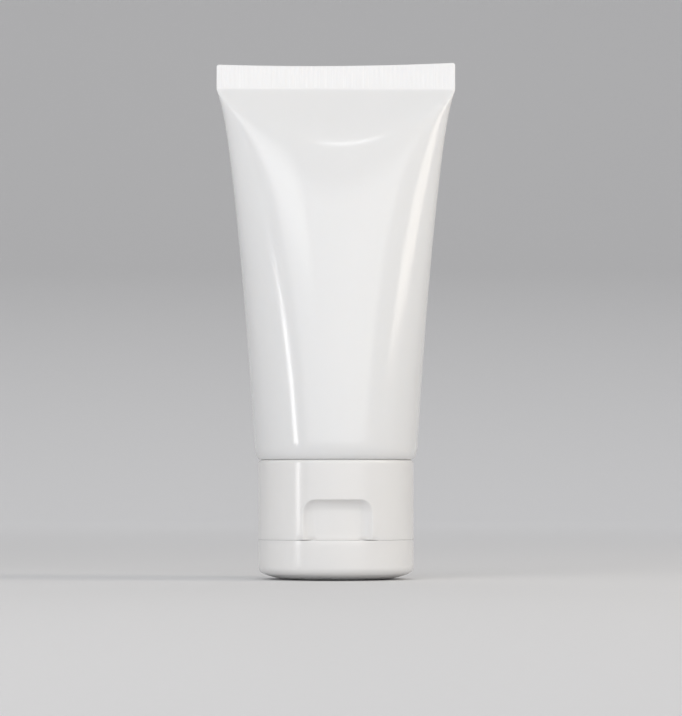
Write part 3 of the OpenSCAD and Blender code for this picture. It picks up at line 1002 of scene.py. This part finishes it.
def hinge_land(name, side, z_face, material):
    """One pair of hinge lands, above the seam for side 1 and below it for side -1."""
    hinge = settings().hinge
    root_r = CAP_R - settings().cap.wall / 2
    land = (hinge.width - hinge.window) / 2
    outline = [  # (y, z), with 0 for the root inside the round wall
        (0, 0),
        (HINGE_Y, 0),
        (HINGE_Y, side * hinge.land_edge),
        (HINGE_Y - hinge.land_slope, side * hinge.land_height),
        (0, side * hinge.land_height),
    ]
    count = len(outline)
    points, faces = [], []
    for low in (-hinge.width / 2, hinge.window / 2):
        near = list(range(len(points), len(points) + count))
        far = [k + count for k in near]
        for x in (low, low + land):
            root = math.sqrt(root_r**2 - x**2)
            points += [(x, y or root, z_face + z) for y, z in outline]
        quads = [near, far[::-1]]
        for k in range(count):
            after = (k + 1) % count
            quads.append([near[after], near[k], far[k], far[after]])
        faces += quads if side < 0 else [quad[::-1] for quad in quads]
    piece = new_piece(name, points, faces, material, 60)
    return bevelled(piece, 0.12 * MM)


# Operators


class PieceOperator(bpy.types.Operator):
    """Builds one piece of the tube."""

    bl_options = {"REGISTER", "UNDO"}

    def execute(self, context):
        self.build()
        return {"FINISHED"}


class BuildSleeve(PieceOperator):
    """Builds the extruded sleeve with its crimped tail."""

    bl_idname = "tube.build_sleeve"
    bl_label = "Sleeve"

    def build(self):
        sizes, material = settings().sleeve, extruded_film()
        piece = sleeve_mesh(material)
        z_seal, z_tail = sleeve_heights()[2:]
        run_group(piece, crimp_group(), {
            "Pitch": sizes.crimp_pitch,
            "Depth": sizes.crimp_depth,
            "Foot": z_seal + 0.2 * MM,
            "Head": z_tail - 0.1 * MM,
            "Half Width": SLEEVE_HIGH.x - 0.4 * MM,
            "Material": material,
        })
        place(piece, "tube", "sleeve_film", "sleeve")


class BuildHead(PieceOperator):
    """Builds the moulded head with its shoulder, neck and thread."""

    bl_idname = "tube.build_head"
    bl_label = "Head"

    def build(self):
        head, sleeve = settings().head, settings().sleeve
        material = moulded_head()
        z_lip, z_body = sleeve_heights()[:2]
        gap = sleeve.film + head.weld_gap
        rim_r = TUBE_R - gap
        seat_r = TUBE_R - sleeve.lip_turn - head.weld_gap
        z_top = z_lip - head.shoulder_fall
        bend = []
        for u in np.sin(np.linspace(math.pi / 2, 0, 10)):
            bulge = (sleeve.lip_turn - gap) * (1 - u * u) ** LIP_POWER
            r = TUBE_R - sleeve.lip_turn + bulge
            bend.append((r, z_body - (sleeve.lip_height - gap) * u, 0))
        f = FILLET
        corners = [
            (head.bore_r, Z_NECK_END, f),
            (head.neck_r - 0.6 * MM, Z_NECK_END, f),
            (head.neck_r, Z_NECK_END + 0.6 * MM, f),
            (head.neck_r, z_top, 2 * f),
            (seat_r, z_lip, f / 2),
            (seat_r, z_lip + gap, 0),
            *bend,
            (rim_r, z_body + head.rim_height, f / 2),
            (rim_r - head.rim_wall, z_body + head.rim_height, f),
            (rim_r - 2 * head.rim_wall, z_body, 2 * f),
            (seat_r - 1 * MM, z_lip + head.shoulder + 0.5 * MM, 2 * f),
            (seat_r - 2.5 * MM, z_lip + head.shoulder, 2 * f),
            (head.bore_r + 1 * MM, z_top + head.shoulder, 2 * f),
            (head.bore_r, z_top + head.shoulder - 1 * MM, 2 * f),
        ]
        points, faces = lathe(filled(rounded(corners), 2 * MM), 180)
        piece = new_piece("head_neck", points, faces, material, 40)
        place(piece, "tube", "head_plastic", "tube_head")
        thread = run_group(empty_piece("neck_thread"), thread_group(), {
            "Radius": head.neck_r + head.thread_height / 2 - 0.05 * MM,
            "Height": head.thread_pitch * head.thread_turns,
            "Turns": head.thread_turns,
            "Root": head.thread_width,
            "Crest": THREAD_CREST,
            "Depth": head.thread_height + 0.1 * MM,
            "Base": Z_NECK_END + THREAD_START,
            "Material": material,
        })
        place(thread, "tube", "head_plastic")


class BuildCapBase(PieceOperator):
    """Builds the base of the flip cap with its recess, collar, ribs and hinge lands."""

    bl_idname = "tube.build_cap_base"
    bl_label = "Cap base"

    def build(self):
        cap, head = settings().cap, settings().head
        material = cap_plastic()
        piece = cap_base_mesh(material)
        place(piece, "cap", "cap_plastic", "cap_base")
        z_base = base_levels()[0]
        lands = hinge_land("hinge_lands_upper", 1, z_base, material)
        place(lands, "cap", "cap_plastic")
        inner = cap.collar_r + cap.collar_wall / 2
        outer = CAP_R - cap.wall / 2
        front = CAP_R - settings().recess.depth - settings().recess.wall / 2
        ribs = run_group(empty_piece("collar_ribs"), rib_group(), {
            "Count": cap.rib_count,
            "Radius": inner,
            "Front Share": (front - inner) / (outer - inner),
            "Base": z_base + cap.deck / 2 + (cap.rib_height + cap.deck / 2) / 2,
            "Size": (outer - inner, cap.rib, cap.rib_height + cap.deck / 2),
            "Material": material,
        })
        place(ribs, "cap", "cap_plastic")
        thread = run_group(empty_piece("collar_thread"), thread_group(), {
            "Radius": cap.collar_r - head.thread_height / 2 + 0.1 * MM,
            "Height": head.thread_pitch * head.thread_turns,
            "Turns": head.thread_turns,
            "Root": THREAD_CREST,
            "Crest": head.thread_width,
            "Depth": head.thread_height - 0.1 * MM,
            "Base": Z_NECK_END + THREAD_START + head.thread_pitch / 2,
            "Material": material,
        })
        place(thread, "cap", "cap_plastic")


class BuildLid(PieceOperator):
    """Builds the lid with its pin and hinge lands."""

    bl_idname = "tube.build_lid"
    bl_label = "Lid"

    def build(self):
        material = cap_plastic()
        place(lid_mesh(material), "lid", "cap_plastic", "cap_lid")
        lands = hinge_land("hinge_lands_lower", -1, Z_LID_RIM, material)
        place(lands, "lid", "cap_plastic")


class BuildHinge(PieceOperator):
    """Builds the two strips of film that join lid and base."""

    bl_idname = "tube.build_hinge"
    bl_label = "Film hinge"

    def build(self):
        hinge, cap = settings().hinge, settings().cap
        reach, waist = 0.45 * MM, 0.55  # half the strip's height, and its waist as a share
        z_middle = Z_LID_RIM + cap.seam / 2
        y = HINGE_Y - hinge.film / 2 - 0.02 * MM
        margin, bend = 0.1 * MM, 0.1 * MM
        land = (hinge.width - hinge.window) / 2 - 2 * margin
        rows = np.linspace(-reach, reach, 13)
        points, faces = [], []
        for x in (-hinge.width / 2 + margin, hinge.window / 2 + margin):
            start = len(points)
            for z in rows:
                half = hinge.film / 2 * (waist + (1 - waist) * (z / reach) ** 2)
                corners = [(x, -half), (x + land, -half), (x + land, half), (x, half)]
                points += [(cx, y + cy, z_middle + z) for cx, cy in corners]
            faces += grid_faces(len(rows), 4, start=start)
            faces.append([start + k for k in (3, 2, 1, 0)])
            faces.append([start + 4 * (len(rows) - 1) + k for k in range(4)])
        piece = new_piece("hinge_film", points, faces, cap_plastic(), 40)
        start, end = (0, HINGE_Y, z_middle + bend), (0, HINGE_Y, z_middle - bend)
        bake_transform(piece)


def cap_plastic():
    """The cap's material, made once."""
    return bpy.data.materials.get("moulded_polypropylene_cap") or moulded_cap()


class BuildStage(PieceOperator):
    """Builds the paper sweep, the lamps and the camera."""

    bl_idname = "tube.build_stage"
    bl_label = "Stage"

    def build(self):
        paper_sweep(plain_paper())
        world = bpy.data.worlds.new("studio")
        world.use_nodes = True
        background = world.node_tree.nodes["Background"]
        background.inputs["Color"].default_value = (*linear("E5E5E6"), 1)
        background.inputs["Strength"].default_value = 0.6
        bpy.context.scene.world = world
        aim, side_aim = (0, 0, 0.06), (0, 0, 0.066)
        for lamp in (  # name, aim, azimuth, elevation, distance, size, power, tint
            ("front_softbox", aim, 0, 9, 1.1, (1.9, 0.8), 6),
            ("top_spot", aim, 5.5, 52, 0.9, (0.14, 0.03), 0.11),
            ("strip_left", side_aim, -58, 0, 0.42, (0.035, 0.14), 0.145),
            ("strip_right", aim, 74, 25, 0.6, (0.2, 0.42), 0.95, "FFF6E8"),
            ("corner_left", aim, -36, 28, 0.6, (0.3, 0.2), 0.33),
        ):
            area_lamp(*lamp)
        rear = area_lamp("rear_fill", aim, 180, 32, 1.3, (1.8, 1.0), 4)
        rear.visible_glossy = False
        studio_camera()
        bpy.context.scene.view_settings.view_transform = "Standard"


def paper_sweep(material):
    """Floor and backdrop in one sheet that curves up behind the tube."""
    reach, bend, height, half_span = 1.6, 0.5, 2.2, 2.4
    line = [(-2.2, 0), (-0.8, 0), (-0.25, 0), (0.25, 0), (0.8, 0)]
    for t in np.linspace(0, math.pi / 2, 24):
        line.append((reach - bend + bend * math.sin(t), bend - bend * math.cos(t)))
    line += [(reach, bend + height * k / 4) for k in range(1, 5)]
    sides = np.linspace(-half_span, half_span, 9)
    count = len(sides)
    points = [(x, y, z) for y, z in line for x in sides]
    faces = []
    for i in range(len(line) - 1):
        for j in range(i * count, (i + 1) * count - 1):
            faces.append((j, j + 1, j + count + 1, j + count))
    sweep = new_piece("paper_sweep", points, faces, material, 80)


def area_lamp(name, aim, azimuth, elevation, distance, size, power, tint="FFFFFF"):
    """A rectangular lamp, placed by its angles from the front, to the right and up."""
    light = bpy.data.lights.new(name, "AREA")
    light.shape = "RECTANGLE"
    light.size, light.size_y = size
    light.energy = power
    light.color = linear(tint)
    lamp = bpy.data.objects.new(name, light)
    a, e = math.radians(azimuth), math.radians(elevation)
    away = Vector((math.sin(a) * math.cos(e), -math.cos(a) * math.cos(e), math.sin(e)))
    lamp.location = Vector(aim) + away * distance
    lamp.rotation_euler = away.to_track_quat("Z", "Y").to_euler()
    lamp.visible_camera = False
    bpy.context.scene.collection.objects.link(lamp)
    return lamp


def studio_camera():
    """Camera that frames the tube as the photograph does, from a little left and low."""
    data = bpy.data.cameras.new("studio_camera")
    data.lens, data.sensor_width = 164.4, 36
    data.clip_start, data.clip_end = 0.05, 20
    camera = bpy.data.objects.new("studio_camera", data)
    seen = Vector((1.09, 0, 47.3)) * MM
    camera.location = seen + Vector((-18.9, -700, -27.3)) * MM
    camera.rotation_euler = (camera.location - seen).to_track_quat("Z", "Y").to_euler()
    bpy.context.scene.collection.objects.link(camera)
    bpy.context.scene.camera = camera


class TubePanel(bpy.types.Panel):
    """Lists the tube's sizes and the buttons that build its pieces."""

    bl_idname = "VIEW3D_PT_squeeze_tube"
    bl_label = "Squeeze Tube"
    bl_space_type = "VIEW_3D"
    bl_region_type = "UI"
    bl_category = "Tube"

    def draw(self, context):
        for operator in OPERATORS:
            self.layout.operator(operator.bl_idname)
        for group in ("sleeve", "head", "cap", "recess", "hinge", "finishes"):
            box = self.layout.box()
            box.label(text=group.capitalize())
            sizes = getattr(context.scene.squeeze_tube, group)
            for name in sizes.bl_rna.properties.keys():
                if name not in ("rna_type", "name"):
                    box.prop(sizes, name)


OPERATORS = (BuildSleeve, BuildHead, BuildCapBase, BuildLid, BuildHinge, BuildStage)
GROUPS = (SleeveSizes, HeadSizes, CapSizes, RecessSizes, HingeSizes, Finishes, TubeSettings)


def register():
    """Registers the classes and the scene's settings."""
    for item in (*GROUPS, *OPERATORS, TubePanel):
        bpy.utils.register_class(item)
    bpy.types.Scene.squeeze_tube = PointerProperty(type=TubeSettings)


def unregister():
    """Removes them again."""
    del bpy.types.Scene.squeeze_tube
    for item in reversed((*GROUPS, *OPERATORS, TubePanel)):
        bpy.utils.unregister_class(item)


def main():
    """Builds every piece."""
    register()
    for operator in OPERATORS:
        group, name = operator.bl_idname.split(".")
        getattr(getattr(bpy.ops, group), name)()


if __name__ == "__main__":
    main()
